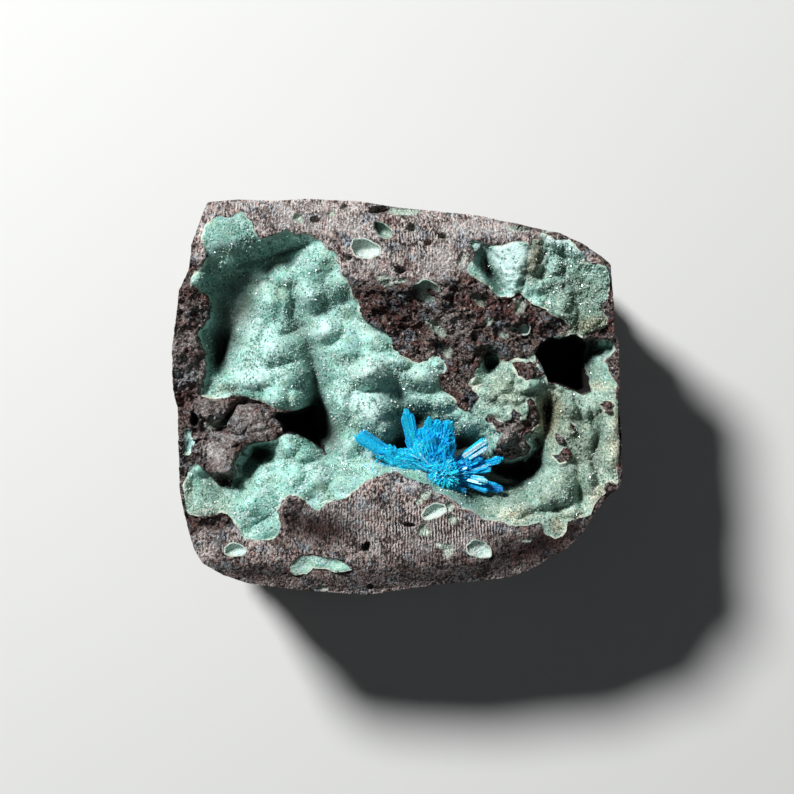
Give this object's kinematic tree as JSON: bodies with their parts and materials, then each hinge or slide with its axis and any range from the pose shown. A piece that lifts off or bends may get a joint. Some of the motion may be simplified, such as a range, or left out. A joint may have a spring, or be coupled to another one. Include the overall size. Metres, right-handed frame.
{
  "type": "cavansite specimen",
  "caption": "Trimmed block of bubbly basalt whose pocket is lined with pale green druse and holds a spray of vivid blue cavansite crystals; lies flat on its sawn back.",
  "frame": {"origin": "middle of the sawn back, at the bottom centre of the bounding box", "axes": "+Z out of the sawn front face with the crystal pocket, +Y towards the upper edge, +X along the long side to the right"},
  "size_m": [0.0602, 0.053, 0.028],
  "materials": {
    "basalt": "dark reddish brown basalt, sawn and broken, matt",
    "druse": "mint green crust of tiny glassy crystals, sparkling",
    "cavansite": "vivid blue, glassy, slightly see-through crystal"
  },
  "bodies": {
    "root": {"basalt_matrix": "basalt", "druse_lining": "druse", "druse_upper_right": "druse", "druse_bottom_vug": "druse", "druse_left_patch": "druse", "vesicle_lining_half_moon": "druse", "vesicle_lining_fracture": "druse", "vesicle_lining_upper_left": "druse", "vesicle_lining_right": "druse", "vesicle_lining_lower_long": "druse", "vesicle_lining_lower_pale": "druse", "vesicle_lining_lower_left": "druse", "cavansite_cluster": "cavansite", "cavansite_tuft": "cavansite"}
  },
  "joints": []
}
